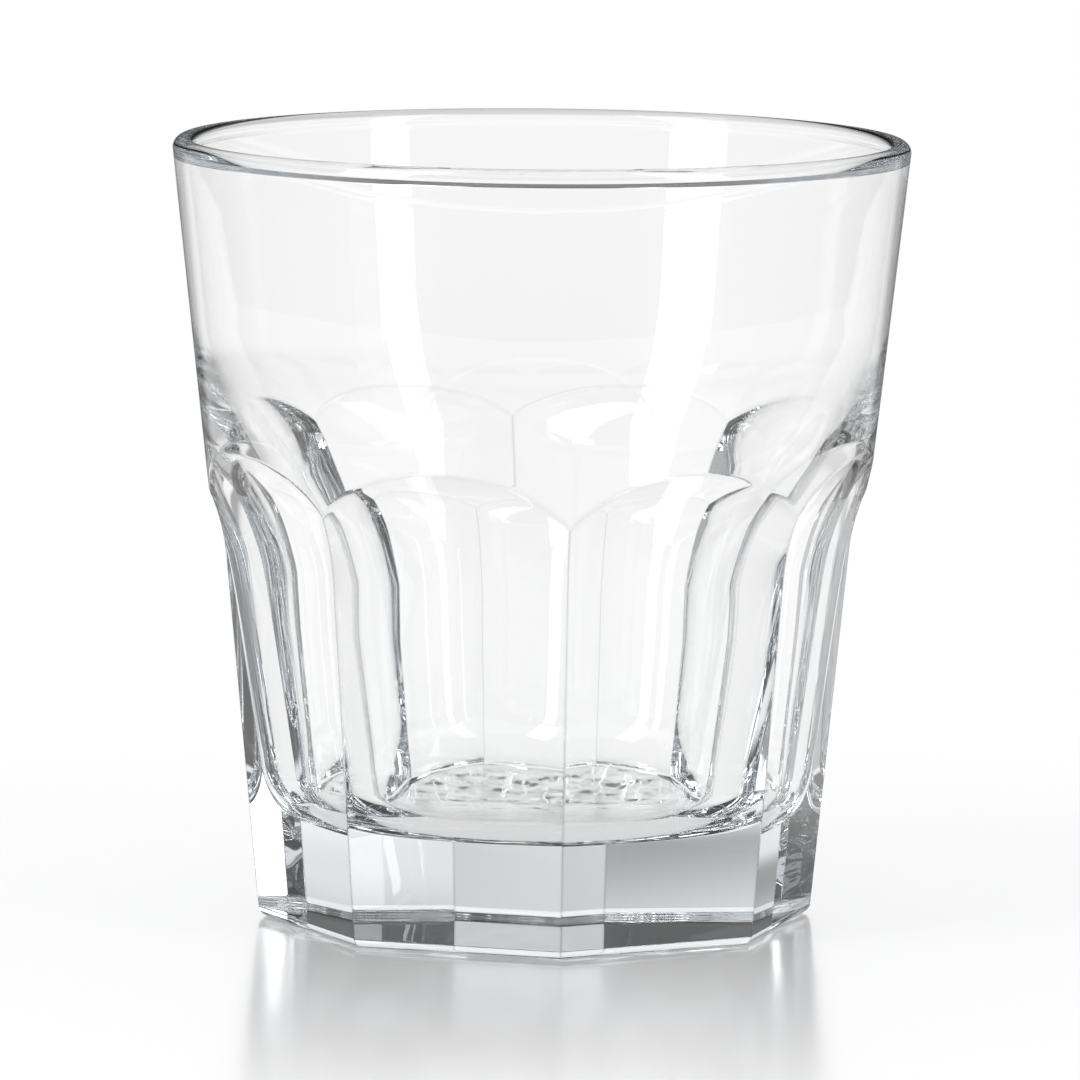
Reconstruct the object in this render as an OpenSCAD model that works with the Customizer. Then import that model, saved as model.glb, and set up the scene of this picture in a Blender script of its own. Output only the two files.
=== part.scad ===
// Panelled rocks glass: a pressed glass tumbler with a heavy solid base, a lower wall of flat
// upright panels that sweep out under arches, a thin round upper wall and a rounded lip.
// Origin: middle of the underside. Z runs up the glass. One ridge between panels faces -Y.

/* [Overall size] */
// Height from the table to the top of the lip
height = 91.5; // [84:0.5:100]
// Widest outside diameter, just under the lip
rim_d = 86; // [82:0.5:92]

/* [Upper wall] */
// Outward lean of the round upper wall, in degrees from upright
wall_lean = 6.3; // [4:0.1:8]
// Thickness of the upper wall
wall_t = 1.65; // [1.2:0.05:2.4]
// Thickness of the rounded lip
lip_t = 2.5; // [1.8:0.1:3.6]
// Height over which the wall swells into the lip
swell_h = 0.8; // [0.5:0.1:3]

/* [Panels] */
// Number of flat panels round the lower wall
panel_count = 8; // [7:1:12]
// How far the foot of a panel stands in from the widest outside
foot_in = 13; // [11.5:0.25:14.5]
// Outward lean of the panels, in degrees from upright
panel_lean = 5.1; // [3.5:0.1:6.2]
// Height at which the panels start to sweep outwards
panel_h = 42.8; // [38:0.2:46]
// Radius of the outward sweep at the top of each panel
sweep_r = 25; // [20:0.5:30]
// Bevel round the bottom edge
heel = 1.1; // [0.5:0.1:2]

/* [Inside] */
// Thickness of the solid base
base_t = 12.3; // [8:0.1:18]
// Radius between the floor and the wall inside
floor_r = 6.5; // [4:0.1:10]
// Outward lean of the lower wall inside, in degrees from upright
bore_lean = 11.7; // [9:0.1:13]
// Height at which the inside starts to bend outwards
bend_h = 36.2; // [30:0.2:40]
// Thickness that the lower wall would have at the top of a panel, were it not bent
waist_t = 2.9; // [2.4:0.1:3.8]
// Radius of the outward bend inside
bend_r = 74; // [60:1:90]
// Radius of the shoulder inside, where the bend turns back into the thin upper wall
shoulder_r = 73; // [60:1:90]
// Height above the inner floor, and above the arches, where one piece ends and the next begins
seam_h = 1; // [0.5:0.1:2]

/* [Hidden] */
$fn = 128;
glass_tint = [0.87, 0.92, 0.93, 0.5];
// Length by which cutting shapes run past what they cut
over = 5;
// Straight steps along each rounded stretch of the inside
arc_steps = 16;

// Lip: a half round that stands on the top of the upper wall
lip_z = height - lip_t / 2;
crest_r = rim_d / 2 - lip_t / 2;
function wall_out(z) = rim_d / 2 - (lip_z - z) * tan(wall_lean);
function wall_in(z) = wall_out(z) - wall_t;

// Panels outside, and the sweep that ends each one
foot_r = rim_d / 2 - foot_in;
function panel_out(z) = foot_r + z * tan(panel_lean);
sweep_centre = [
    panel_out(panel_h) + sweep_r * cos(panel_lean),
    panel_h - sweep_r * sin(panel_lean)
];

// Lower wall inside: a straight lean that runs into the bend
function bore(z) = panel_out(panel_h) - waist_t - (panel_h - z) * tan(bore_lean);
floor_centre = [bore(base_t + floor_r) - floor_r / cos(bore_lean), base_t + floor_r];
bend_centre = [bore(bend_h) + bend_r * cos(bore_lean), bend_h - bend_r * sin(bore_lean)];

// Height at which a line that lies inside the upper wall and runs along it comes up to a circle's edge
function meet_z(centre, radius, inside) =
    let (
        u = wall_out(0) - inside - centre[0],
        a = 1 + pow(tan(wall_lean), 2),
        b = u * tan(wall_lean) - centre[1],
        c = pow(u, 2) + pow(centre[1], 2) - pow(radius, 2)
    )
    (-b + sqrt(pow(b, 2) - a * c)) / a;

// Shoulder inside: a round that touches both the bend and the upper wall
shoulder_in = wall_t + shoulder_r / cos(wall_lean);
shoulder_z = meet_z(bend_centre, bend_r + shoulder_r, shoulder_in);
shoulder_centre = [wall_out(shoulder_z) - shoulder_in, shoulder_z];
bend_end = atan2(
    shoulder_centre[1] - bend_centre[1],
    bend_centre[0] - shoulder_centre[0]
);

// Heights where one named piece of the glass ends and the next begins
base_top = base_t + seam_h;
panels_top = meet_z(sweep_centre, sweep_r, 0) + seam_h;

// Points along a round stretch, from one angle to another
function arc(centre, radius, from, to) = [
    for (i = [0:arc_steps])
        let (a = from + (to - from) * i / arc_steps)
        centre + radius * [cos(a), sin(a)]
];

// Section of the hollow that holds the drink
module hollow() {
    rotate_extrude()
        polygon(concat(
            [[0, base_t]],
            arc(floor_centre, floor_r, -90, -bore_lean),
            arc(bend_centre, bend_r, 180 - bore_lean, 180 - bend_end),
            arc(shoulder_centre, shoulder_r, -bend_end, -wall_lean),
            [
                [wall_in(lip_z - swell_h), lip_z - swell_h],
                [crest_r - lip_t / 2, lip_z],
                [crest_r - lip_t / 2, height + over],
                [0, height + over]
            ]
        ));
}

// Round outside of the glass before the panels are pressed into it
module round_blank() {
    rotate_extrude()
        polygon([
            [0, 0],
            [wall_out(panel_h), 0],
            [wall_out(panel_h), panel_h],
            [rim_d / 2, lip_z],
            [0, lip_z]
        ]);
}

// Space outside one panel: bevelled foot, flat face and the sweep above it
module panel_space() {
    rotate([90, 0, 0])
        linear_extrude(height = rim_d, center = true) {
            polygon([
                [panel_out(0) - heel - over, -over],
                [panel_out(heel), heel],
                [panel_out(panel_h), panel_h],
                sweep_centre,
                [rim_d, sweep_centre[1]],
                [rim_d, -over]
            ]);
            translate(sweep_centre)
                circle(r = sweep_r);
        }
}

// Outside of the glass up to the lip
module outside() {
    difference() {
        round_blank();
        for (i = [0:panel_count - 1])
            rotate(-90 + (i + 0.5) * 360 / panel_count)
                panel_space();
    }
}

// The part of the glass between two heights
module band(low, high) {
    intersection() {
        children();
        translate([-rim_d, -rim_d, low])
            cube([2 * rim_d, 2 * rim_d, high - low]);
    }
}

// Solid base with its panelled edge and the floor of the hollow
module base() {
    color(glass_tint)
        band(0, base_top)
            difference() {
                outside();
                hollow();
            }
}

// Thick lower wall with the flat panels and their arches
module panelled_wall() {
    color(glass_tint)
        band(base_top, panels_top)
            difference() {
                outside();
                hollow();
            }
}

// Thin round wall above the arches
module upper_wall() {
    color(glass_tint)
        band(panels_top, lip_z)
            difference() {
                round_blank();
                hollow();
            }
}

// Rounded lip
module rim() {
    color(glass_tint)
        rotate_extrude()
            translate([crest_r, lip_z])
                intersection() {
                    circle(d = lip_t);
                    translate([-lip_t, 0])
                        square([2 * lip_t, lip_t]);
                }
}

base();
panelled_wall();
upper_wall();
rim();
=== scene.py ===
"""Looks of a panelled rocks glass: one closed mesh of pressed glass on a white studio floor.

The glass is pressed in one go, so its zones share one unbroken surface here. Lengths are in
millimetres until a mesh, a node or a lamp takes them, and the frame gives the height and the rim.
"""

import logging
import math
from dataclasses import dataclass, field
from enum import Enum
from typing import Callable, Optional

import bpy
import numpy as np
from mathutils import Matrix, Vector, noise


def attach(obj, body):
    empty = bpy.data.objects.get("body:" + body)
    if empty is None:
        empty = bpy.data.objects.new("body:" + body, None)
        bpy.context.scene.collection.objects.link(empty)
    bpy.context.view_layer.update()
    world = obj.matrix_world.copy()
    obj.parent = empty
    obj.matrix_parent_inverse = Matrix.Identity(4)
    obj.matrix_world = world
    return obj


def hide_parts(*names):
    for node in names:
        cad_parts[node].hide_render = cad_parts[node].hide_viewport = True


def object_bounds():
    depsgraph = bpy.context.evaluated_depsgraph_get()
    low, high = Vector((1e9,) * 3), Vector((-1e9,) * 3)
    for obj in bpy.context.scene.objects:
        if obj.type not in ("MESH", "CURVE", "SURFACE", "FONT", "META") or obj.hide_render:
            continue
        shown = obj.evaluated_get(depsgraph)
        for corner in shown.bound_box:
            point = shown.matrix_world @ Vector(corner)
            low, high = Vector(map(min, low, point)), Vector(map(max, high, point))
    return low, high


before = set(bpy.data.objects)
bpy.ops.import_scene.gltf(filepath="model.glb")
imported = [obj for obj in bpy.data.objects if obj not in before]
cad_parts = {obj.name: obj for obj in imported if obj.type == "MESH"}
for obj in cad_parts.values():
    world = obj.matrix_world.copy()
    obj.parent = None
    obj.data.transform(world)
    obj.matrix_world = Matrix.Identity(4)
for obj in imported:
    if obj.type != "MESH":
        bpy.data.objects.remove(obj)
CAD_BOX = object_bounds()

MM = 0.001
HALF_TURN = 180.0
UP = Vector((0.0, 0.0, 1.0))
WHITE = "#FFFFFF"
GLASS_NAME = "rocks_glass"
# Name of the mesh attribute that masks the painted shade lines along ridges and arches
PAINTED_EDGE_SHADE_MASK = "edge"
LOG = logging.getLogger(GLASS_NAME)

# The sRGB curve is straight up to its toe and a power above it
SRGB_FULL = 255
SRGB_TOE = 0.04045
SRGB_SLOPE = 12.92
SRGB_OFFSET = 0.055
SRGB_POWER = 2.4

Tree = bpy.types.NodeTree
Socket = bpy.types.NodeSocket
Point = tuple[float, float]


def linear(hex_colour: str) -> tuple[float, float, float, float]:
    """Turn an sRGB hex colour into linear light.

    Args:
        hex_colour: six hex digits after a hash sign.

    Returns:
        Red, green, blue and an alpha of 1, in linear light.
    """
    lit = []
    for byte in bytes.fromhex(hex_colour[1:]):
        share = byte / SRGB_FULL
        if share <= SRGB_TOE:
            lit.append(share / SRGB_SLOPE)
        else:
            lit.append(((share + SRGB_OFFSET) / (1 + SRGB_OFFSET)) ** SRGB_POWER)
    return (*lit, 1.0)


def empty_tree(owner: bpy.types.Material | bpy.types.World) -> Tree:
    """Give a material or a world a node tree with nothing in it.

    Args:
        owner: the material or the world.

    Returns:
        Its empty node tree.
    """
    owner.use_nodes = True
    owner.node_tree.nodes.clear()
    return owner.node_tree


def add_node(
    tree: Tree,
    kind: str,
    settings: Optional[dict] = None,
    links: Optional[dict] = None,
    output: str | int = 0,
) -> Optional[Socket]:
    """Add a node, set its properties and sockets, link its inputs and give one of its outputs.

    Args:
        tree: the node tree to add to.
        kind: the node's type name without the leading ShaderNode.
        settings: property names, or input names or numbers, with their values.
        links: input names or numbers, each with the output socket that feeds it.
        output: name or number of the output that is wanted.

    Returns:
        The output socket, or None where the node has no outputs.
    """
    node = tree.nodes.new("ShaderNode" + kind)
    for name, value in (settings or {}).items():
        if isinstance(name, str) and hasattr(node, name):
            setattr(node, name, value)
        else:
            node.inputs[name].default_value = value
    for name, source in (links or {}).items():
        tree.links.new(source, node.inputs[name])
    return node.outputs[output] if node.outputs else None


class Zone(Enum):
    """The solids of the frame that the glass stands for, from the table up."""

    BASE = "base"
    PANELS = "panelled_wall"
    UPPER = "upper_wall"
    LIP = "rim"


class Ray(Enum):
    """Kinds of ray that the studio's floor and world tell apart."""

    BOUNCED = "bounced anywhere on its way"
    TURNED = "bounced and also went through the surface of the glass"
    MIRRORED = "bounced off the polished outside and nowhere else"


@dataclass(frozen=True)
class Fade:
    """A smooth change from one level to another between two places."""

    start: float
    end: float
    low: float = 0.0
    high: float = 1.0

    def settings(self, unit: float = 1.0) -> dict:
        """Settings of a map range node.

        Args:
            unit: factor that turns the places into the node's unit.

        Returns:
            Property and input names with their values.
        """
        return {
            "interpolation_type": "SMOOTHSTEP",
            "From Min": self.start * unit,
            "From Max": self.end * unit,
            "To Min": self.low,
            "To Max": self.high,
        }


@dataclass(frozen=True)
class PressedGlass:
    """Clear soda-lime glass, pressed in a mould and fire polished.

    The melt is clear, with a breath of cool grey where it is thick. Fire polish leaves a mirror
    gloss and a small round along each ridge and arch. The fine grey line that such a round gives
    as it bends light aside is painted shade, a grey mixed into the base colour along ridges and
    arches. The mould and the plunger leave a slow waviness that bends what shows through.
    """

    name: str = "pressed_soda_lime_glass"
    tint: str = WHITE
    # Painted shade: the grey mixed into the base colour along ridges and arches
    painted_edge_shade: str = "#C4C6C8"
    depth_tint: str = "#E6ECF1"
    depth_density: float = 6.0
    ior: float = 1.52
    wave_mm: float = 9.0
    wave_depth_mm: float = 0.012
    wave_detail: float = 1.0
    wave_roughness: float = 0.4
    haze_mm: float = 14.0
    haze_detail: float = 3.0
    haze_low: float = 0.35
    haze_high: float = 0.7
    gloss_low: float = 0.0
    gloss_high: float = 0.003

    def make(self) -> bpy.types.Material:
        """Build the material.

        Returns:
            The glass, with waviness in its bump, faint haze in its roughness and painted shade lines
            on its edges.
        """
        material = bpy.data.materials.new(self.name)
        tree = empty_tree(material)
        place = add_node(tree, "TexCoord", output="Object")
        waves = add_node(
            tree, "TexNoise",
            {
                "Scale": 1 / (self.wave_mm * MM), "Detail": self.wave_detail,
                "Roughness": self.wave_roughness,
            },
            {"Vector": place}, "Fac",
        )
        bump = add_node(
            tree, "Bump",
            {"Strength": 1.0, "Distance": self.wave_depth_mm * MM}, {"Height": waves}, "Normal",
        )
        haze = add_node(
            tree, "TexNoise",
            {"Scale": 1 / (self.haze_mm * MM), "Detail": self.haze_detail}, {"Vector": place}, "Fac",
        )
        gloss = add_node(
            tree, "MapRange",
            {
                "From Min": self.haze_low, "From Max": self.haze_high,
                "To Min": self.gloss_low, "To Max": self.gloss_high,
            },
            {"Value": haze}, "Result",
        )
        # Painted shade: grey mixed into the base colour along ridges and arches, where bent light
        # would show a dark line
        edge = add_node(tree, "Attribute", {"attribute_name": PAINTED_EDGE_SHADE_MASK}, None, "Fac")
        colour = add_node(
            tree, "Mix",
            {"data_type": "RGBA", "A": linear(self.tint), "B": linear(self.painted_edge_shade)}, {0: edge}, 2,
        )
        surface = add_node(
            tree, "BsdfPrincipled",
            {"IOR": self.ior, "Transmission Weight": 1.0},
            {"Base Color": colour, "Roughness": gloss, "Normal": bump},
        )
        depth = add_node(
            tree, "VolumeAbsorption",
            {"Color": linear(self.depth_tint), "Density": self.depth_density},
        )
        add_node(tree, "OutputMaterial", None, {"Surface": surface, "Volume": depth})
        return material


@dataclass(frozen=True)
class WhiteAcrylic:
    """White acrylic sheet, cast and polished.

    Close to the glass it takes a pale shade and a soft mirror image, and further off it is an even
    white. Rays off the glass see it at the brightness that the studio gives it.
    """

    name: str = "glossy_white_acrylic"
    colour: str = WHITE
    shade_colour: str = "#E4E4E6"
    roughness: float = 0.18
    shade: Fade = Fade(50.0, 170.0, 0.6, 0.0)
    sheen: Fade = Fade(50.0, 170.0, 0.57, 0.0)

    def make(self, brightness: Callable[[Tree], Socket]) -> bpy.types.Material:
        """Build the material.

        Args:
            brightness: adds the nodes for the brightness that rays off the glass see.

        Returns:
            The acrylic.
        """
        material = bpy.data.materials.new(self.name)
        tree = empty_tree(material)
        colour = linear(self.colour)
        glow = add_node(tree, "Emission", {"Color": colour}, {"Strength": brightness(tree)})
        even = add_node(tree, "Emission", {"Color": colour})
        matt = add_node(tree, "BsdfDiffuse", {"Color": linear(self.shade_colour)})
        polish = add_node(tree, "BsdfGlossy", {"Color": colour, "Roughness": self.roughness})
        place = add_node(tree, "TexCoord", output="Object")
        away = add_node(tree, "VectorMath", {"operation": "LENGTH"}, {0: place}, "Value")
        shade = add_node(tree, "MapRange", self.shade.settings(MM), {"Value": away})
        sheen = add_node(tree, "MapRange", self.sheen.settings(MM), {"Value": away})
        body = add_node(tree, "MixShader", None, {0: shade, 1: even, 2: matt})
        top = add_node(tree, "MixShader", None, {0: sheen, 1: body, 2: polish})
        seen = add_node(tree, "LightPath", output="Is Camera Ray")
        shown = add_node(tree, "MixShader", None, {0: seen, 1: glow, 2: top})
        add_node(tree, "OutputMaterial", None, {"Surface": shown})
        return material


@dataclass(frozen=True)
class RingSteps:
    """How many steps the mesh takes across a panel and along each stretch of the section."""

    panel_width: int = 44
    heel: int = 8
    panel: int = 6
    sweep: int = 13
    arch: int = 69
    upper_wall: int = 6
    lip: int = 32
    bead: int = 11
    inner_wall: int = 6
    shoulder: int = 24
    bend: int = 16
    bore: int = 6
    floor_corner: int = 24
    floor: int = 29


@dataclass
class RocksGlass:
    """The glass itself, with the sizes of its mould in millimetres and degrees.

    The outside is a round blank with flat panels pressed into it. The inside is round all the way.
    """

    height: float
    rim_d: float

    # Upper wall and lip
    wall_lean: float = 6.3
    wall_t: float = 1.65
    lip_t: float = 2.5
    bead_h: float = 0.8

    # Panels, and the heights between which their arches lie
    panel_count: int = 8
    foot_w: float = 60.0
    panel_lean: float = 5.1
    panel_h: float = 42.8
    sweep_r: float = 25.0
    heel: float = 1.1
    arch_low: float = 47.5
    arch_high: float = 58.0

    # Inside
    base_t: float = 12.3
    floor_r: float = 6.5
    bore_lean: float = 11.7
    waist_t: float = 2.9
    bend_h: float = 36.2
    bend_r: float = 74.0
    shoulder_r: float = 73.0

    # Fire polish: how sharp the edges stay, and the reach and strength of the painted shade lines
    edge_sharpness: float = 34.0
    ridge_w: float = 0.12
    arch_w: float = 0.2
    arch_share: float = 0.35

    # Unevenness of the inner floor: depths, wavelengths and the width over which it dies away
    chill_depths: tuple[float, float] = (0.09, 0.025)
    chill_waves: tuple[float, float] = (4.5, 1.7)
    chill_fade: float = 2.0

    # Mesh: how much its points crowd beside the ridges, the gap from the end of a straight stretch
    # to its outermost rings, and the shares of the underside's width at which it has rings
    crowding: float = 2.0
    guard: float = 0.12
    underside_shares: tuple[float, ...] = (0.25, 0.5, 0.75, 0.95, 0.996)
    level_error: float = 0.001
    steps: RingSteps = RingSteps()
    finish: PressedGlass = PressedGlass()

    # Worked out from the sizes above
    lip_r: float = field(init=False)
    lip_z: float = field(init=False)
    crest_r: float = field(init=False)
    wall_slope: float = field(init=False)
    panel_slope: float = field(init=False)
    sweep_x: float = field(init=False)
    sweep_z: float = field(init=False)
    waist_r: float = field(init=False)
    floor_edge: float = field(init=False)
    angles: np.ndarray = field(init=False)

    def __post_init__(self) -> None:
        """Work out the shared centres, radii and heights."""
        lean = math.radians(self.panel_lean)
        bore = math.radians(self.bore_lean)
        self.lip_r = self.lip_t / 2
        self.lip_z = self.height - self.lip_r
        self.crest_r = self.rim_d / 2 - self.lip_r
        self.wall_slope = math.tan(math.radians(self.wall_lean))
        self.panel_slope = math.tan(lean)
        panel_top = self.foot_w / 2 + self.panel_h * self.panel_slope
        self.sweep_x = panel_top + self.sweep_r * math.cos(lean)
        self.sweep_z = self.panel_h - self.sweep_r * math.sin(lean)
        self.waist_r = panel_top - self.waist_t
        self.floor_edge = self.bore_in(self.base_t + self.floor_r) - self.floor_r / math.cos(bore)
        self.angles = self.ring_angles()

    def ring_angles(self) -> np.ndarray:
        """Angles of the points on a ring, closer together beside the ridges.

        Returns:
            Angles in radians, once round the glass.
        """
        half = math.pi / self.panel_count
        count = self.steps.panel_width
        share = np.arange(count) / count * 2 - 1
        eased = np.sign(share) * (1 - (1 - np.abs(share)) ** self.crowding)
        start = -math.pi / 2 + half
        return np.concatenate(
            [start + 2 * half * i + half * eased for i in range(self.panel_count)]
        )

    def wall_out(self, z: float) -> float:
        """Outside radius of the round blank at a height."""
        return self.rim_d / 2 - (self.lip_z - z) * self.wall_slope

    def wall_in(self, z: float) -> float:
        """Inside radius of the thin upper wall at a height."""
        return self.wall_out(z) - self.wall_t

    def bore_in(self, z: float) -> float:
        """Inside radius of the lower wall's straight lean at a height."""
        return self.waist_r - (self.panel_h - z) * math.tan(math.radians(self.bore_lean))

    def panel_out(self, z: float) -> Optional[float]:
        """Distance of a panel from the axis at a height.

        Args:
            z: height above the table.

        Returns:
            The distance, or None above the panel's sweep.
        """
        if z <= self.panel_h:
            return self.foot_w / 2 + z * self.panel_slope
        rise = z - self.sweep_z
        if rise >= self.sweep_r:
            return None
        return self.sweep_x - math.sqrt(self.sweep_r ** 2 - rise ** 2)

    def sharp_faces(self, z: float, inset: float = 0.0) -> np.ndarray:
        """Radii of the blank and of each panel at a height, before they meet.

        Args:
            z: height above the table.
            inset: how far the heel is drawn in there.

        Returns:
            One row for each face, with one radius for each angle of the ring.
        """
        faces = [np.full_like(self.angles, self.wall_out(z))]
        flat = self.panel_out(z)
        if flat is not None:
            pitch = 2 * math.pi / self.panel_count
            # A panel is never the nearest face past a sixth of a turn, so it is left far out there
            reach = math.cos(math.pi / 3)
            far_out = 10 * self.rim_d
            for i in range(self.panel_count):
                turn = np.cos(self.angles + math.pi / 2 - (i + 0.5) * pitch)
                radii = (flat - inset) / np.maximum(turn, reach)
                faces.append(np.where(turn > reach, radii, far_out))
        return np.array(faces)

    def outside_ring(self, z: float, inset: float = 0.0) -> np.ndarray:
        """Radius of the outside at a height, with ridges and arches rounded by fire polish.

        Args:
            z: height above the table.
            inset: how far the heel is drawn in there.

        Returns:
            One radius for each angle of the ring.
        """
        faces = self.sharp_faces(z, inset)
        nearest = faces.min(axis=0)
        spread = np.exp(-self.edge_sharpness * (faces - nearest))
        return nearest - np.log(spread.sum(axis=0)) / self.edge_sharpness

    def edge_ring(self, z: float, inset: float = 0.0) -> np.ndarray:
        """Tell how near the outside is to a ridge or an arch at a height: the painted shade's mask.

        Args:
            z: height above the table.
            inset: how far the heel is drawn in there.

        Returns:
            For each angle of the ring, 1 on a ridge, less on an arch and 0 away from both.
        """
        blank, *panels = self.sharp_faces(z, inset)
        if not panels:
            return np.zeros_like(self.angles)
        first, second = np.sort(panels, axis=0)[:2]
        ridge = np.where(first < blank, np.exp(-((second - first) / self.ridge_w) ** 2), 0.0)
        arch = self.arch_share * np.exp(-((blank - first) / self.arch_w) ** 2)
        return np.maximum(ridge, arch)

    @staticmethod
    def arc(centre: Point, radius: float, start: float, end: float, steps: int) -> list[Point]:
        """Points along a round stretch of the section.

        Args:
            centre: radius and height of its centre.
            radius: its radius.
            start: first angle in degrees.
            end: last angle in degrees.
            steps: number of steps between them.

        Returns:
            Pairs of radius and height.
        """
        turns = np.radians(np.linspace(start, end, steps + 1))
        return [(centre[0] + radius * math.cos(t), centre[1] + radius * math.sin(t)) for t in turns]

    def spaced(self, start: float, end: float, steps: int) -> np.ndarray:
        """Places along a straight stretch, with one close to each end so that the light stays even.

        Args:
            start: the first place, which is left out.
            end: the last place, which is left out.
            steps: number of even steps between.

        Returns:
            The places between start and end.
        """
        guard = math.copysign(self.guard, end - start)
        between = np.linspace(start, end, steps + 1)[1:-1]
        return np.concatenate([[start + guard], between, [end - guard]])

    def bead(self) -> list[Point]:
        """Section of the inside under the lip, where the lip thins into the wall.

        Returns:
            Pairs of radius and height, from the lip down.
        """
        top = self.crest_r - self.lip_r
        points = []
        for share in np.linspace(0, 1, self.steps.bead + 1)[1:]:
            z = self.lip_z - self.bead_h * share
            ease = 1 - math.cos(share * math.pi / 2)
            points.append((top + (self.wall_in(z) - top) * ease, z))
        return points

    def shoulder_centre(self, bend: Point) -> Point:
        """Centre of the inner shoulder, a round that touches both the bend and the upper wall.

        Args:
            bend: radius and height of the bend's centre.

        Returns:
            Radius and height of the shoulder's centre.
        """
        inset = self.shoulder_r / math.cos(math.radians(self.wall_lean))
        offset = self.wall_in(0) - inset - bend[0]
        # Its height solves a quadratic, because the two centres lie both radii apart
        square = 1 + self.wall_slope ** 2
        half_linear = offset * self.wall_slope - bend[1]
        constant = offset ** 2 + bend[1] ** 2 - (self.bend_r + self.shoulder_r) ** 2
        z = (-half_linear + math.sqrt(half_linear ** 2 - square * constant)) / square
        return (self.wall_in(z) - inset, z)

    def inside_section(self) -> list[Point]:
        """Section of the lip and the hollow, from outside the lip to the middle of the floor.

        Returns:
            Pairs of radius and height.
        """
        steps = self.steps
        bore = math.radians(self.bore_lean)
        bend_x = self.bore_in(self.bend_h) + self.bend_r * math.cos(bore)
        bend_z = self.bend_h - self.bend_r * math.sin(bore)
        shoulder_x, shoulder_z = self.shoulder_centre((bend_x, bend_z))
        bend_end = math.degrees(math.atan2(shoulder_z - bend_z, bend_x - shoulder_x))
        lip = self.arc(
            (self.crest_r, self.lip_z), self.lip_r, -self.wall_lean, HALF_TURN, steps.lip
        )
        bead = self.bead()
        shoulder = self.arc(
            (shoulder_x, shoulder_z), self.shoulder_r, -self.wall_lean, -bend_end, steps.shoulder
        )
        bend = self.arc(
            (bend_x, bend_z), self.bend_r, HALF_TURN - bend_end, HALF_TURN - self.bore_lean, steps.bend
        )
        corner = self.arc(
            (self.floor_edge, self.base_t + self.floor_r),
            self.floor_r, -self.bore_lean, -HALF_TURN / 2, steps.floor_corner,
        )
        wall_heights = self.spaced(bead[-1][1], shoulder[0][1], steps.inner_wall)
        bore_heights = self.spaced(bend[-1][1], corner[0][1], steps.bore)
        wall = [(self.wall_in(z), z) for z in wall_heights]
        bore_wall = [(self.bore_in(z), z) for z in bore_heights]
        floor = [(x, self.base_t) for x in np.linspace(corner[-1][0], 0, steps.floor + 1)[1:-1]]
        return lip + bead + wall + shoulder + bend[1:] + bore_wall + corner + floor

    def rings(self) -> list[tuple[np.ndarray, np.ndarray, np.ndarray]]:
        """All rings of the surface, from the middle of the underside round to the inner floor.

        Returns:
            Radii, heights and nearness to an edge, each with one value for each angle.
        """
        steps = self.steps
        foot = self.outside_ring(0.0, self.heel)
        none = np.zeros_like(foot)
        rings = [(foot * share, none, none) for share in self.underside_shares]
        for turn in np.linspace(0, math.pi / 2, steps.heel + 1):
            z = self.heel * (1 - math.cos(turn))
            inset = self.heel * (1 - math.sin(turn))
            rings.append((self.outside_ring(z, inset), none + z, self.edge_ring(z, inset)))
        lip_low = self.lip_z - self.lip_r * math.sin(math.radians(self.wall_lean))
        heights = np.concatenate([
            self.spaced(self.heel, self.panel_h, steps.panel),
            np.linspace(self.panel_h, self.arch_low, steps.sweep + 1),
            np.linspace(self.arch_low, self.arch_high, steps.arch + 1)[1:],
            self.spaced(self.arch_high, lip_low, steps.upper_wall),
        ])
        for z in heights:
            rings.append((self.outside_ring(z), none + z, self.edge_ring(z)))
        for radius, z in self.inside_section():
            rings.append((none + radius, none + z, none))
        return rings

    def chilled(self, x: float, y: float, z: float) -> tuple[float, float, float]:
        """Raise or lower a point of the inner floor by the unevenness that the plunger leaves.

        Args:
            x: place across the glass.
            y: place along the glass.
            z: height of the even surface.

        Returns:
            The point, unchanged unless it lies on the inner floor.
        """
        to_edge = self.floor_edge - math.hypot(x, y)
        if abs(z - self.base_t) > self.level_error or to_edge < 0:
            return (x, y, z)
        place = Vector((x, y, 0.0))
        waves = zip(self.chill_depths, self.chill_waves)
        rise = sum(depth * noise.noise(place / length) for depth, length in waves)
        return (x, y, z + min(1.0, to_edge / self.chill_fade) * rise)

    def build(self) -> bpy.types.Object:
        """Make the closed mesh of the glass.

        Returns:
            The glass, in metres, in the frame of the solids.
        """
        rings = self.rings()
        count = len(self.angles)
        points = [(0.0, 0.0, 0.0)]
        for radii, heights, _ in rings:
            points += [
                self.chilled(r * math.cos(t), r * math.sin(t), z)
                for r, t, z in zip(radii, self.angles, heights)
            ]
        points.append((0.0, 0.0, self.base_t))
        last = len(points) - 1
        faces = [(0, 1 + (i + 1) % count, 1 + i) for i in range(count)]
        for ring in range(len(rings) - 1):
            low = 1 + ring * count
            for i in range(count):
                j = (i + 1) % count
                faces.append((low + i, low + j, low + count + j, low + count + i))
        top = 1 + (len(rings) - 1) * count
        faces += [(top + i, top + (i + 1) % count, last) for i in range(count)]
        mesh = bpy.data.meshes.new(GLASS_NAME)
        mesh.from_pydata([tuple(c * MM for c in p) for p in points], [], faces)
        mesh.shade_smooth()
        # Nearness to ridges and arches, kept as the mask of the painted shade lines in the glass's
        # base colour
        edges = np.concatenate([[0.0], *(edge for _, _, edge in rings), [0.0]])
        mesh.attributes.new(PAINTED_EDGE_SHADE_MASK, "FLOAT", "POINT").data.foreach_set("value", edges)
        piece = bpy.data.objects.new(GLASS_NAME, mesh)
        bpy.context.scene.collection.objects.link(piece)
        return piece

    def dress(self, piece: bpy.types.Object) -> None:
        """Give the glass its finish and tie it to the frame.

        Args:
            piece: the mesh that build made.
        """
        piece.data.materials.append(self.finish.make())
        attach(piece, "root")
        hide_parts(*(zone.value for zone in Zone))


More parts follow.
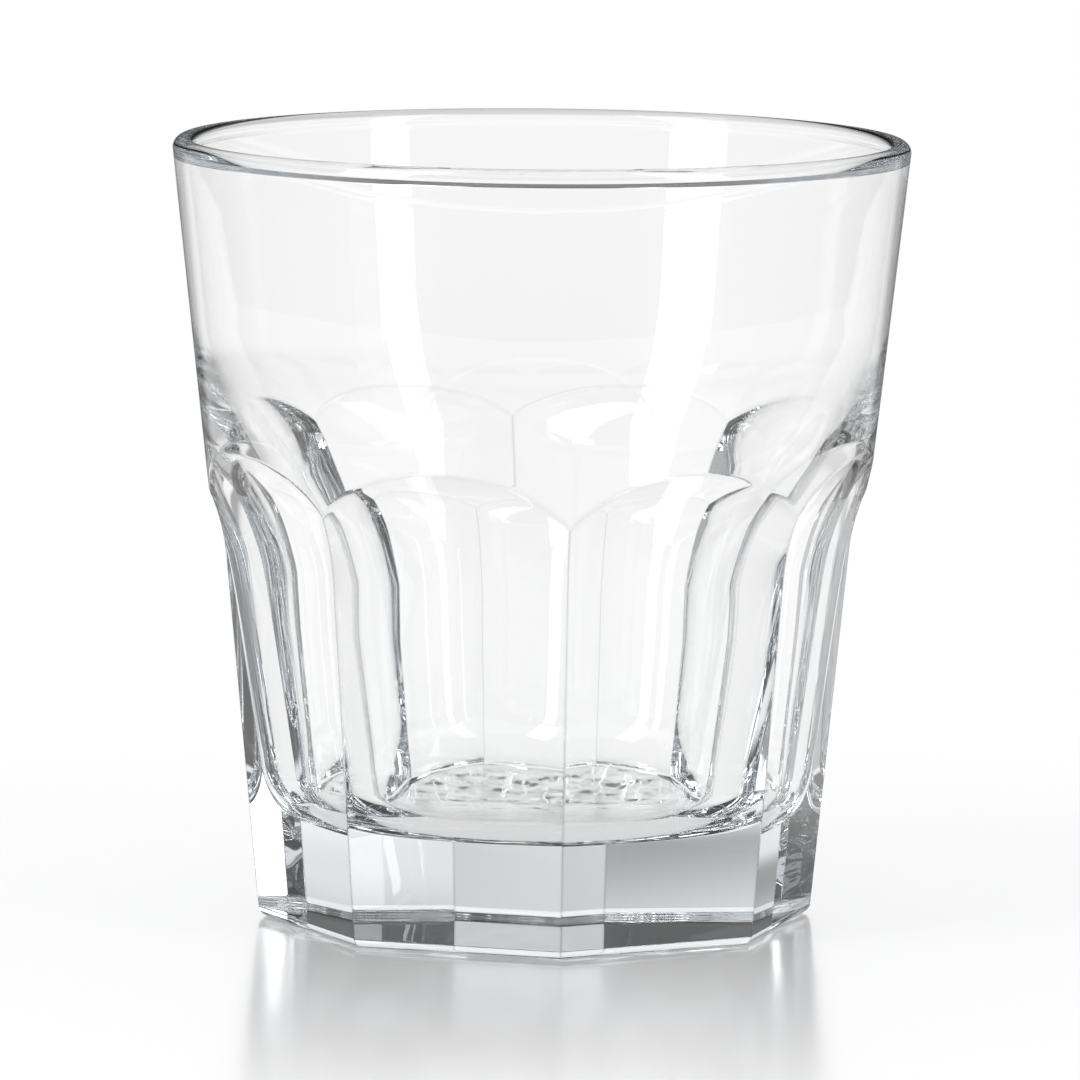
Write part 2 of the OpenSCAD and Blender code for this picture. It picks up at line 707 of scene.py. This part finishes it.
def is_ray(tree: Tree, kind: Ray) -> Socket:
    """Tell one kind of ray from all others.

    Args:
        tree: the nodes to add to.
        kind: the kind of ray.

    Returns:
        The socket with 1 for a ray of that kind and 0 for any other.
    """
    path = add_node(tree, "LightPath").node.outputs
    if kind is Ray.BOUNCED:
        return add_node(tree, "Math", {"operation": "MINIMUM", 1: 1.0}, {0: path["Glossy Depth"]})
    both = {"operation": "MULTIPLY", "use_clamp": True}
    if kind is Ray.TURNED:
        return add_node(
            tree, "Math", both, {0: path["Glossy Depth"], 1: path["Transmission Depth"]}
        )
    polished = add_node(tree, "Math", both, {0: path["Glossy Depth"], 1: path["Is Singular Ray"]})
    outside = add_node(
        tree, "Math", {"operation": "LESS_THAN", 1: 0.5}, {0: path["Transmission Depth"]}
    )
    return add_node(tree, "Math", both, {0: polished, 1: outside})


def level_angle(tree: Tree, outward: Socket, centre: Vector) -> Socket:
    """Measure the level angle between a direction and another one.

    Args:
        tree: the nodes to add to.
        outward: the direction, of any length.
        centre: level unit vector to measure from.

    Returns:
        The socket with the angle in degrees.
    """
    level = add_node(tree, "VectorMath", {"operation": "MULTIPLY", 1: (1.0, 1.0, 0.0)}, {0: outward})
    unit = add_node(tree, "VectorMath", {"operation": "NORMALIZE"}, {0: level})
    along = add_node(
        tree, "VectorMath", {"operation": "DOT_PRODUCT", 1: centre}, {0: unit}, "Value"
    )
    angle = add_node(tree, "Math", {"operation": "ARCCOSINE"}, {0: along})
    return add_node(tree, "Math", {"operation": "DEGREES"}, {0: angle})


@dataclass(frozen=True)
class View:
    """The camera at the photograph's angle, with lengths in millimetres and angles in degrees."""

    azimuth: float = -5.28
    elevation: float = 7.196
    roll: float = 0.524
    distance: float = 1163.6
    aim_height: float = 44.32
    aim_side: float = 0.18
    focal_px: float = 9945.0
    picture_px: float = 1080.0
    sensor: float = 36.0
    clip_start: float = 100.0
    clip_end: float = 20000.0

    def forward(self) -> Vector:
        """Level direction in which the camera looks."""
        turn = math.radians(self.azimuth)
        return Vector((-math.sin(turn), math.cos(turn), 0.0))

    def right(self) -> Vector:
        """Level direction to the camera's right."""
        return self.forward().cross(UP)

    def build(self) -> bpy.types.Object:
        """Make the camera.

        Returns:
            The camera, which is also made the scene's own.
        """
        rise = math.radians(self.elevation)
        back = UP * math.sin(rise) - self.forward() * math.cos(rise)
        aim = (UP * self.aim_height + self.right() * self.aim_side) * MM
        data = bpy.data.cameras.new("camera")
        data.sensor_width = self.sensor
        data.lens = self.sensor * self.focal_px / self.picture_px
        data.clip_start = self.clip_start * MM
        data.clip_end = self.clip_end * MM
        camera = bpy.data.objects.new("camera", data)
        bpy.context.scene.collection.objects.link(camera)
        place = Matrix.Translation(aim + back * self.distance * MM)
        facing = (-back).to_track_quat("-Z", "Y").to_matrix().to_4x4()
        camera.matrix_world = place @ facing @ Matrix.Rotation(math.radians(self.roll), 4, "Z")
        bpy.context.scene.camera = camera
        return camera


@dataclass(frozen=True)
class LostLight:
    """Light that turned so often inside the glass that it counts as lost, seen at one even level."""

    bounces: Fade = Fade(6.5, 9.5)
    level: float = 0.3

    def over(self, tree: Tree, level: Socket) -> Socket:
        """Show the even level to lost rays and another level to the rest.

        Args:
            tree: the nodes to add to.
            level: the level for rays that aren't lost.

        Returns:
            The socket with the level.
        """
        bounces = add_node(tree, "LightPath", output="Glossy Depth")
        lost = add_node(tree, "MapRange", self.bounces.settings(), {"Value": bounces})
        return add_node(tree, "Mix", {3: self.level}, {0: lost, 2: level})


@dataclass(frozen=True)
class Surround:
    """Light from all round the glass, white for every ray that comes straight through it.

    A ray that turned in the glass sees a lit backdrop between dark flags, a dim room and a dark
    ceiling with bright sides. Angles are in degrees, away from the middle of the backdrop.
    """

    backdrop: Fade = Fade(12.0, 22.0, 0.65, 0.13)
    room: Fade = Fade(80.0, 100.0)
    room_level: float = 0.08
    ceiling_low: float = 17.0
    ceiling_high: float = 23.0
    ceiling_sides: Fade = Fade(0.62, 0.74, 0.05, 0.9)
    mirrored_level: float = 0.06
    lost: LostLight = LostLight()

    def build(self, view: View) -> None:
        """Make the world.

        Args:
            view: the camera, which faces the backdrop.
        """
        world = bpy.data.worlds.new("studio")
        tree = empty_tree(world)
        heading = add_node(tree, "TexCoord", output="Generated")
        angle = level_angle(tree, heading, view.forward())
        backdrop = add_node(tree, "MapRange", self.backdrop.settings(), {"Value": angle})
        behind = add_node(tree, "MapRange", self.room.settings(), {"Value": angle})
        walls = add_node(tree, "Mix", {3: self.room_level}, {0: behind, 2: backdrop})
        aside = add_node(
            tree, "VectorMath", {"operation": "DOT_PRODUCT", 1: view.right()}, {0: heading}, "Value"
        )
        off_line = add_node(tree, "Math", {"operation": "ABSOLUTE"}, {0: aside})
        ceiling = add_node(tree, "MapRange", self.ceiling_sides.settings(), {"Value": off_line})
        rise = add_node(tree, "SeparateXYZ", None, {"Vector": heading}, "Z")
        ceiling_edge = Fade(
            math.sin(math.radians(self.ceiling_low)), math.sin(math.radians(self.ceiling_high))
        )
        above = add_node(tree, "MapRange", ceiling_edge.settings(), {"Value": rise})
        flags = add_node(tree, "Mix", None, {0: above, 2: walls, 3: ceiling})
        straight = add_node(
            tree, "Mix", {2: 1.0, 3: self.mirrored_level}, {0: is_ray(tree, Ray.MIRRORED)}
        )
        level = add_node(
            tree, "Mix", None,
            {0: is_ray(tree, Ray.TURNED), 2: straight, 3: self.lost.over(tree, flags)},
        )
        light = add_node(tree, "Background", {"Color": linear(WHITE)}, {"Strength": level})
        add_node(tree, "OutputWorld", None, {"Surface": light})
        bpy.context.scene.world = world


@dataclass(frozen=True)
class Floor:
    """The pale floor, with lengths in millimetres and levels as shares of white.

    Places are measured from the axis of the glass: away from it, to the right of it or behind it.
    """

    side: float = 6000.0
    gap: float = 0.05
    finish: WhiteAcrylic = WhiteAcrylic()

    # Rays that turned once in the glass: bright close by and far off, dimmer between and to the left
    near_level: float = 0.92
    past_near: Fade = Fade(120.0, 170.0)
    sides: Fade = Fade(-150.0, 300.0, 0.3, 0.85)
    open_floor: Fade = Fade(230.0, 300.0)
    open_level: float = 0.95

    # Rays that turned more often: dark at the foot, a bright ring, then dark flags to the right
    often: Fade = Fade(1.2, 1.8)
    foot_ring: Fade = Fade(44.0, 52.0, 0.05, 0.9)
    past_ring: Fade = Fade(58.0, 80.0)
    deep_sides: Fade = Fade(-60.0, 60.0, 0.45, 0.05)
    lost: LostLight = LostLight()

    # Rays off the polished outside: level at each angle from the camera's side, dimmer at the foot
    polish_levels: tuple[tuple[float, float], ...] = (
        (0.0, 0.75), (30.0, 0.75), (34.0, 1.0), (62.0, 1.0), (67.0, 0.95), (144.0, 0.95),
        (152.0, 0.2), (168.0, 0.15), (175.0, 0.6), (180.0, 0.8),
    )
    polish_foot: Fade = Fade(40.0, 110.0, 0.3, 1.0)

    # Shade round the foot, for rays that crossed only the solid base, and right under the glass
    contact: Fade = Fade(-90.0, 60.0, 0.4, 0.9)
    past_contact: Fade = Fade(200.0, 320.0)
    hollow_crossings: Fade = Fade(2.2, 2.8)
    underside: Fade = Fade(-6.0, 8.0, 0.8, 1.0)
    past_underside: Fade = Fade(28.0, 40.0)

    def turned_level(self, tree: Tree, aside: Socket, away: Socket) -> Socket:
        """Brightness for rays that turned inside the glass.

        Args:
            tree: the floor's nodes.
            aside: place to the right.
            away: distance from the axis.

        Returns:
            The socket with the brightness.
        """
        sides = add_node(tree, "MapRange", self.sides.settings(MM), {"Value": aside})
        far_off = add_node(tree, "MapRange", self.open_floor.settings(MM), {"Value": away})
        outer = add_node(tree, "Mix", {3: self.open_level}, {0: far_off, 2: sides})
        past_near = add_node(tree, "MapRange", self.past_near.settings(MM), {"Value": away})
        once = add_node(tree, "Mix", {2: self.near_level}, {0: past_near, 3: outer})
        ring = add_node(tree, "MapRange", self.foot_ring.settings(MM), {"Value": away})
        past_ring = add_node(tree, "MapRange", self.past_ring.settings(MM), {"Value": away})
        flags = add_node(tree, "MapRange", self.deep_sides.settings(MM), {"Value": aside})
        deep = add_node(tree, "Mix", None, {0: past_ring, 2: ring, 3: flags})
        bounces = add_node(tree, "LightPath", output="Glossy Depth")
        often = add_node(tree, "MapRange", self.often.settings(), {"Value": bounces})
        return self.lost.over(tree, add_node(tree, "Mix", None, {0: often, 2: once, 3: deep}))

    def polish_level(self, tree: Tree, place: Socket, away: Socket, view: View) -> Socket:
        """Brightness for rays off the polished outside of the glass.

        Args:
            tree: the floor's nodes.
            place: place on the floor.
            away: distance from the axis.
            view: the camera, from whose side angles are measured.

        Returns:
            The socket with the brightness.
        """
        angle = level_angle(tree, place, -view.forward())
        share = add_node(tree, "Math", {"operation": "DIVIDE", 1: HALF_TURN}, {0: angle})
        ramp = add_node(tree, "ValToRGB", None, {"Fac": share})
        stops = ramp.node.color_ramp.elements
        for degrees, _ in self.polish_levels[1:-1]:
            stops.new(degrees / HALF_TURN)
        for stop, (_, grey) in zip(stops, self.polish_levels):
            stop.color = (grey, grey, grey, 1.0)
        foot = add_node(tree, "MapRange", self.polish_foot.settings(MM), {"Value": away})
        return add_node(tree, "Math", {"operation": "MULTIPLY"}, {0: ramp, 1: foot})

    def shade_level(self, tree: Tree, aside: Socket, back: Socket, away: Socket) -> Socket:
        """Shade of the glass on the floor round its foot and under it.

        Args:
            tree: the floor's nodes.
            aside: place to the right.
            back: place behind the axis.
            away: distance from the axis.

        Returns:
            The socket with the share of the brightness that is left.
        """
        contact = add_node(tree, "MapRange", self.contact.settings(MM), {"Value": aside})
        clear = add_node(tree, "MapRange", self.past_contact.settings(MM), {"Value": away})
        crossings = add_node(tree, "LightPath", output="Transmission Depth")
        hollow = add_node(tree, "MapRange", self.hollow_crossings.settings(), {"Value": crossings})
        for other in (hollow, is_ray(tree, Ray.BOUNCED)):
            clear = add_node(tree, "Math", {"operation": "MAXIMUM"}, {0: clear, 1: other})
        round_foot = add_node(tree, "Mix", {3: 1.0}, {0: clear, 2: contact})
        underside = add_node(tree, "MapRange", self.underside.settings(MM), {"Value": back})
        past = add_node(tree, "MapRange", self.past_underside.settings(MM), {"Value": away})
        beneath = add_node(tree, "Mix", {3: 1.0}, {0: past, 2: underside})
        return add_node(tree, "Math", {"operation": "MULTIPLY"}, {0: round_foot, 1: beneath})

    def brightness(self, tree: Tree, view: View) -> Socket:
        """Brightness of the floor as each kind of ray off the glass sees it.

        Args:
            tree: the floor's nodes.
            view: the camera.

        Returns:
            The socket with the brightness.
        """
        place = add_node(tree, "TexCoord", output="Object")
        aside, back, away = (
            add_node(tree, "VectorMath", measure, {0: place}, "Value")
            for measure in (
                {"operation": "DOT_PRODUCT", 1: view.right()},
                {"operation": "DOT_PRODUCT", 1: view.forward()},
                {"operation": "LENGTH"},
            )
        )
        polish = self.polish_level(tree, place, away, view)
        turned = self.turned_level(tree, aside, away)
        bounced = add_node(tree, "Mix", None, {0: is_ray(tree, Ray.TURNED), 2: polish, 3: turned})
        level = add_node(tree, "Mix", {2: 1.0}, {0: is_ray(tree, Ray.BOUNCED), 3: bounced})
        shade = self.shade_level(tree, aside, back, away)
        return add_node(tree, "Math", {"operation": "MULTIPLY"}, {0: level, 1: shade})

    def build(self, view: View) -> bpy.types.Object:
        """Make the floor.

        Args:
            view: the camera.

        Returns:
            The floor.
        """
        half = self.side / 2 * MM
        z = -self.gap * MM
        corners = [(-half, -half, z), (half, -half, z), (half, half, z), (-half, half, z)]
        mesh = bpy.data.meshes.new("floor")
        mesh.from_pydata(corners, [], [(0, 1, 2, 3)])
        mesh.materials.append(self.finish.make(lambda tree: self.brightness(tree, view)))
        floor = bpy.data.objects.new("floor", mesh)
        bpy.context.scene.collection.objects.link(floor)
        return floor


@dataclass(frozen=True)
class StripLight:
    """A tall strip light beside the camera, with lengths in millimetres and power in watts.

    Its azimuth is the angle from the camera to the right, seen from the glass.
    """

    name: str
    azimuth: float
    width: float
    power: float
    height: float = 1400.0
    distance: float = 800.0
    middle_z: float = 550.0
    aim_z: float = 200.0

    def build(self, view: View) -> bpy.types.Object:
        """Hang the light.

        Args:
            view: the camera.

        Returns:
            The lamp.
        """
        data = bpy.data.lights.new(self.name, "AREA")
        data.shape = "RECTANGLE"
        data.size = self.width * MM
        data.size_y = self.height * MM
        data.energy = self.power
        lamp = bpy.data.objects.new(self.name, data)
        bpy.context.scene.collection.objects.link(lamp)
        turn = math.radians(view.azimuth + self.azimuth)
        aside = Vector((math.sin(turn), -math.cos(turn), 0.0)) * self.distance
        lamp.location = (aside + UP * self.middle_z) * MM
        lamp.rotation_mode = "QUATERNION"
        lamp.rotation_quaternion = (UP * self.aim_z * MM - lamp.location).to_track_quat("-Z", "Y")
        lamp.visible_camera = False
        return lamp


@dataclass(frozen=True)
class Studio:
    """White studio for glassware: camera, floor, light all round and two strip lights.

    The counts of bounces let light turn inside the thick base until it finds its way out.
    """

    view: View = View()
    floor: Floor = Floor()
    surround: Surround = Surround()
    strips: tuple[StripLight, ...] = (
        StripLight("left_strip", -54.0, 340.0, 4.9),
        StripLight("right_strip", 52.5, 220.0, 2.2),
    )
    max_bounces: int = 40
    glossy_bounces: int = 28
    transmission_bounces: int = 32

    def build(self) -> None:
        """Set up the camera, the floor and the light."""
        self.view.build()
        self.floor.build(self.view)
        self.surround.build(self.view)
        for strip in self.strips:
            strip.build(self.view)
            LOG.info("%s: %.1f W", strip.name, strip.power)
        bpy.context.scene.view_settings.view_transform = "Standard"
        paths = bpy.context.scene.cycles
        paths.max_bounces = self.max_bounces
        paths.glossy_bounces = self.glossy_bounces
        paths.transmission_bounces = self.transmission_bounces


def main() -> None:
    """Build the glass and its studio from the solids' box, and log the lamps and the mesh's size."""
    logging.basicConfig(level=logging.INFO, format="%(name)s: %(message)s")
    low, high = CAD_BOX
    Studio().build()
    glass = RocksGlass(height=high.z / MM, rim_d=(high.x - low.x) / MM)
    piece = glass.build()
    glass.dress(piece)
    mesh = piece.data
    LOG.info("%s: %d points, %d faces", piece.name, len(mesh.vertices), len(mesh.polygons))


if __name__ == "__main__":
    main()
